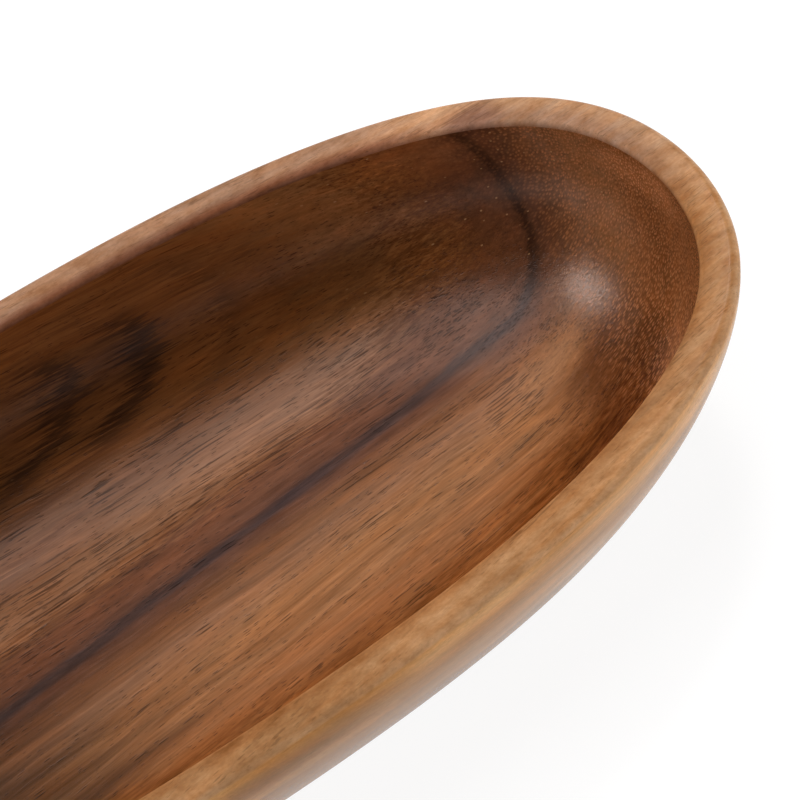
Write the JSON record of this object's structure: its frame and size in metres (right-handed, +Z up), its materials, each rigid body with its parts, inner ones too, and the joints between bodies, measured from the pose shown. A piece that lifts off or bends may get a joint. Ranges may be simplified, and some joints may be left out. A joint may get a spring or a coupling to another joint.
{
  "type": "boat-shaped serving tray",
  "caption": "Long oval serving tray carved from one piece of wood, with a level rim, walls that lean out from a flat base, and a coved hollow with a flat floor.",
  "frame": {"origin": "middle of the flat base, on the surface that the tray stands on", "axes": "+X along the tray towards one tip, +Y across it towards one long side, +Z up out of the hollow"},
  "size_m": [0.3, 0.137, 0.045],
  "materials": {
    "wood": "clear satin lacquer over reddish brown acacia with darker growth streaks"
  },
  "bodies": {
    "root": {"tray_body": "wood"}
  },
  "joints": []
}
